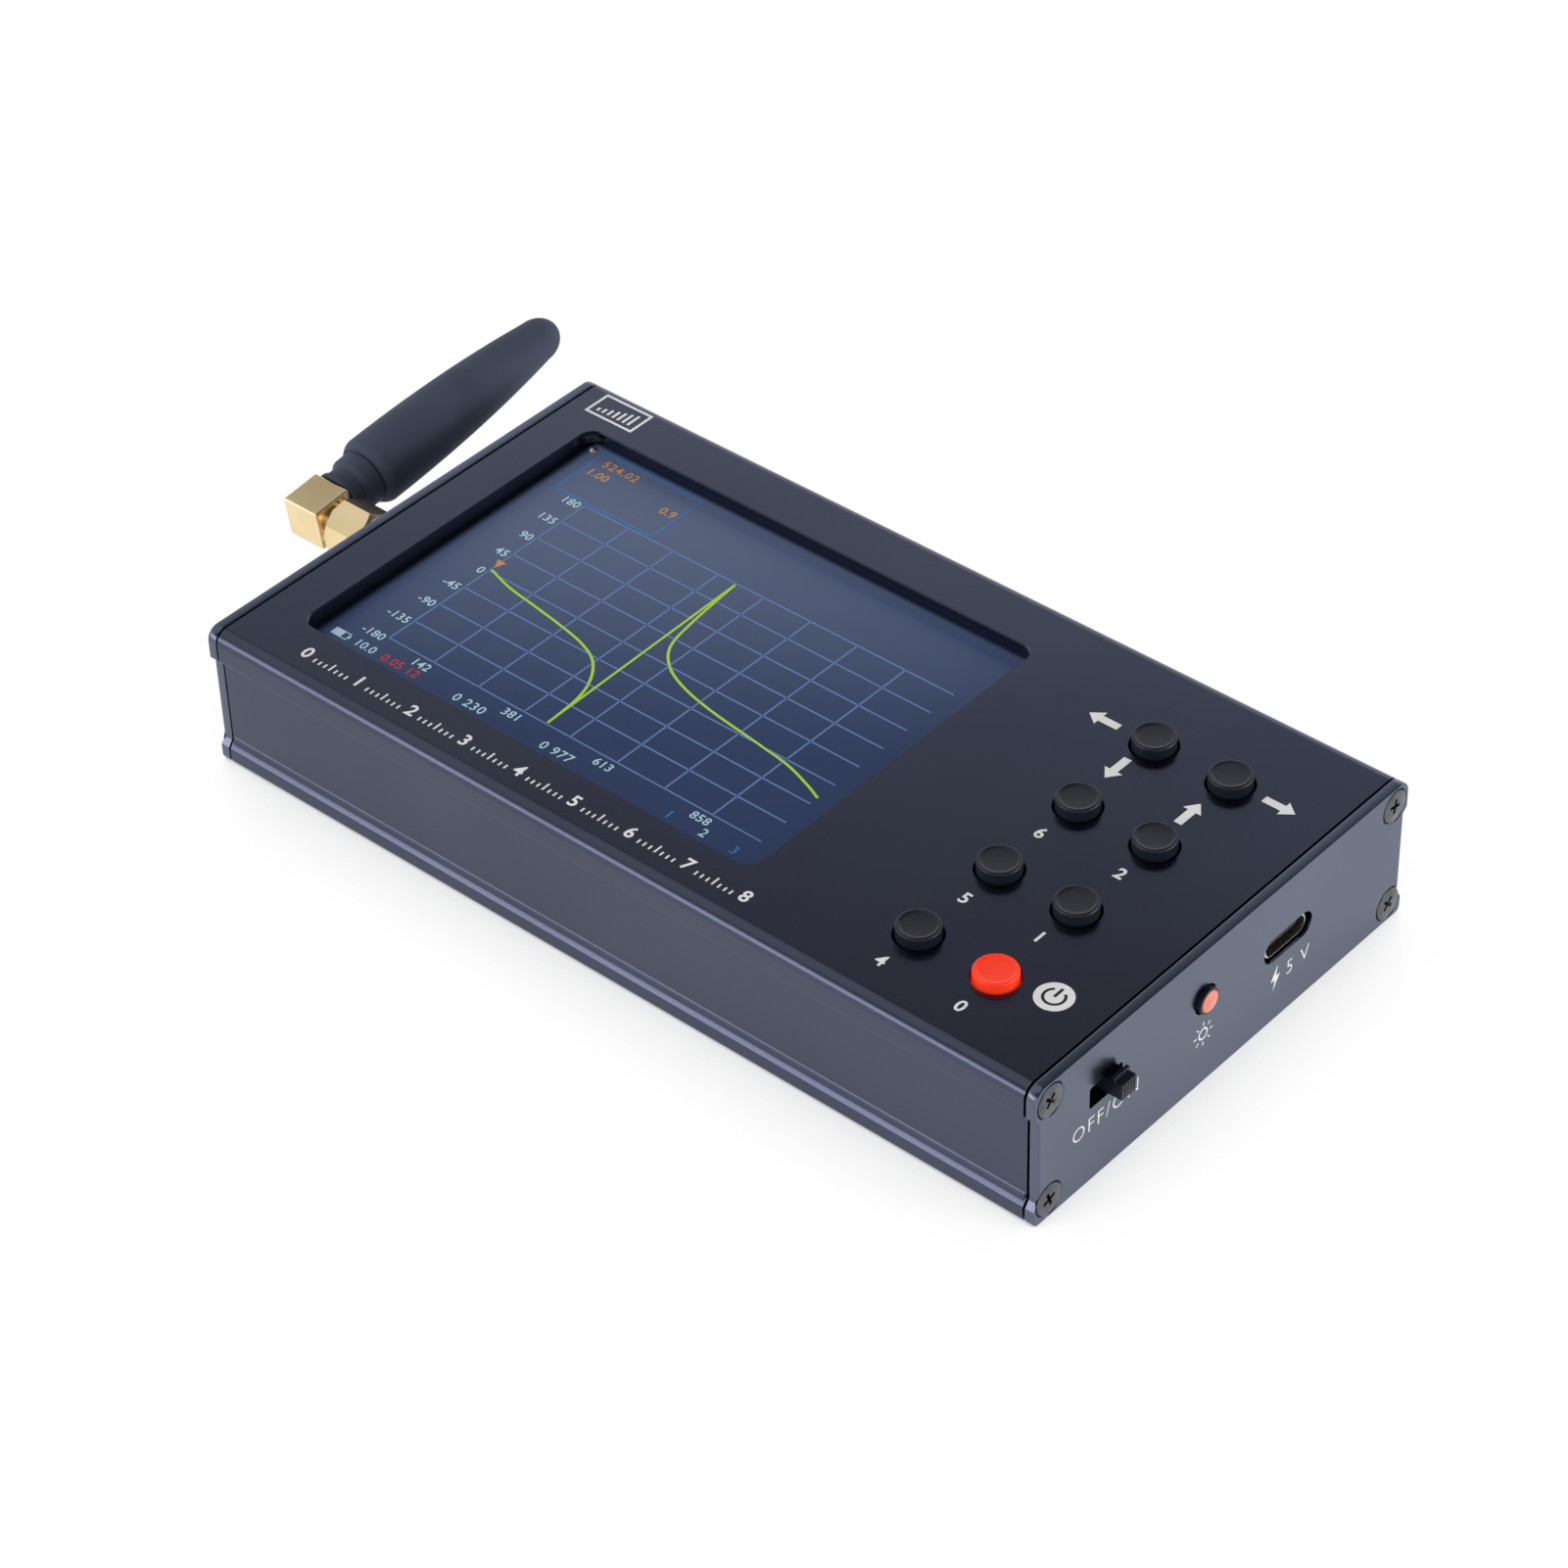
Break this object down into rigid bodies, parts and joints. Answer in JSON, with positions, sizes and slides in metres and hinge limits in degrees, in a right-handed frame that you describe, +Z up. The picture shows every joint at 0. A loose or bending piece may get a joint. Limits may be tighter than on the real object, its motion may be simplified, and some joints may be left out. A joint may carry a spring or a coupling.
{
  "type": "antenna analyzer",
  "caption": "Hand-held antenna analyzer: flat two-shell metal case with end plates, recessed screen, round push keys, slide switch, charging socket and a stub antenna on a right-angle elbow",
  "frame": {"origin": "middle of the flat underside of the lower shell", "axes": "+X along the case toward the end plate with the charging socket, +Y across the case, away from the side with the power key, +Z up out of the screen"},
  "size_m": [0.1687, 0.0862, 0.0244],
  "materials": {
    "black_anodised": "black anodised, fine satin",
    "black_steel": "blackened, smooth",
    "gold_plate": "gold plated, smooth",
    "black_rubber": "satin moulded",
    "red_plastic": "smooth moulded",
    "black_plastic": "fine matt",
    "cover_glass": "flat polished",
    "screen_module": "dark module with a lit face",
    "circuit_board": "solder mask",
    "white_plastic": "moulded",
    "red_insulation": "smooth",
    "black_insulation": "smooth",
    "foil_pouch": "foil laminate",
    "lamp_lens": "diffuse",
    "bright_steel": "plated"
  },
  "bodies": {
    "instrument": {"antenna_end_plate": "black_anodised", "antenna_end_screw_1": "black_steel", "antenna_end_screw_2": "black_steel", "antenna_end_screw_3": "black_steel", "antenna_end_screw_4": "black_steel", "battery_lead_negative": "black_insulation", "battery_lead_positive": "red_insulation", "battery_pack": "foil_pouch", "battery_plug": "white_plastic", "battery_socket": "white_plastic", "controller_chip": "black_plastic", "detector_chip": "black_plastic", "display_board": "circuit_board", "display_header": "black_plastic", "display_lens": "cover_glass", "display_panel": "screen_module", "display_post_1": "bright_steel", "display_post_2": "bright_steel", "display_post_3": "bright_steel", "display_post_4": "bright_steel", "jack_insulator": "white_plastic", "jack_nut": "gold_plate", "jack_washer": "gold_plate", "key_switch_1": "black_plastic", "key_switch_2": "black_plastic", "key_switch_3": "black_plastic", "key_switch_4": "black_plastic", "key_switch_5": "black_plastic", "key_switch_6": "black_plastic", "key_switch_7": "black_plastic", "key_switch_power": "black_plastic", "lamp_collar": "black_plastic", "lamp_lens": "lamp_lens", "lower_shell": "black_anodised", "main_board": "circuit_board", "rf_jack": "gold_plate", "rf_shield": "bright_steel", "slide_switch_body": "bright_steel", "upper_shell": "black_anodised", "usb_end_plate": "black_anodised", "usb_end_screw_1": "black_steel", "usb_end_screw_2": "black_steel", "usb_end_screw_3": "black_steel", "usb_end_screw_4": "black_steel", "usb_shell": "bright_steel", "usb_tongue": "black_plastic"},
    "key_power_body": {"key_power": "red_plastic"},
    "key_1_body": {"key_1": "black_plastic"},
    "key_2_body": {"key_2": "black_plastic"},
    "key_3_body": {"key_3": "black_plastic"},
    "key_4_body": {"key_4": "black_plastic"},
    "key_5_body": {"key_5": "black_plastic"},
    "key_6_body": {"key_6": "black_plastic"},
    "key_7_body": {"key_7": "black_plastic"},
    "power_slider": {"slide_knob": "black_plastic"},
    "antenna": {"antenna_elbow": "gold_plate", "elbow_pin": "gold_plate", "antenna_whip": "black_rubber"},
    "coupling": {"coupling_nut": "gold_plate"}
  },
  "joints": [
    {"name": "key_power_press", "type": "slide", "parent": "instrument", "child": "key_power_body", "axis": [0, 0, 1], "range_m": [-0.00025, 0], "stiffness_N_per_m": 3000, "springref_m": 0.0002},
    {"name": "key_1_press", "type": "slide", "parent": "instrument", "child": "key_1_body", "axis": [0, 0, 1], "range_m": [-0.00025, 0], "stiffness_N_per_m": 3000, "springref_m": 0.0002},
    {"name": "key_2_press", "type": "slide", "parent": "instrument", "child": "key_2_body", "axis": [0, 0, 1], "range_m": [-0.00025, 0], "stiffness_N_per_m": 3000, "springref_m": 0.0002},
    {"name": "key_3_press", "type": "slide", "parent": "instrument", "child": "key_3_body", "axis": [0, 0, 1], "range_m": [-0.00025, 0], "stiffness_N_per_m": 3000, "springref_m": 0.0002},
    {"name": "key_4_press", "type": "slide", "parent": "instrument", "child": "key_4_body", "axis": [0, 0, 1], "range_m": [-0.00025, 0], "stiffness_N_per_m": 3000, "springref_m": 0.0002},
    {"name": "key_5_press", "type": "slide", "parent": "instrument", "child": "key_5_body", "axis": [0, 0, 1], "range_m": [-0.00025, 0], "stiffness_N_per_m": 3000, "springref_m": 0.0002},
    {"name": "key_6_press", "type": "slide", "parent": "instrument", "child": "key_6_body", "axis": [0, 0, 1], "range_m": [-0.00025, 0], "stiffness_N_per_m": 3000, "springref_m": 0.0002},
    {"name": "key_7_press", "type": "slide", "parent": "instrument", "child": "key_7_body", "axis": [0, 0, 1], "range_m": [-0.00025, 0], "stiffness_N_per_m": 3000, "springref_m": 0.0002},
    {"name": "power_slide", "type": "slide", "parent": "instrument", "child": "power_slider", "axis": [0, 1, 0], "range_m": [-0.003, 0]},
    {"name": "antenna_turn", "type": "hinge", "parent": "instrument", "child": "antenna", "pos_m": [-0.08835, -0.0025, 0.0145], "axis": [1, 0, 0], "continuous": true},
    {"name": "coupling_turn", "type": "hinge", "parent": "antenna", "child": "coupling", "pos_m": [-0.0802, -0.0025, 0.0145], "axis": [1, 0, 0], "continuous": true}
  ]
}
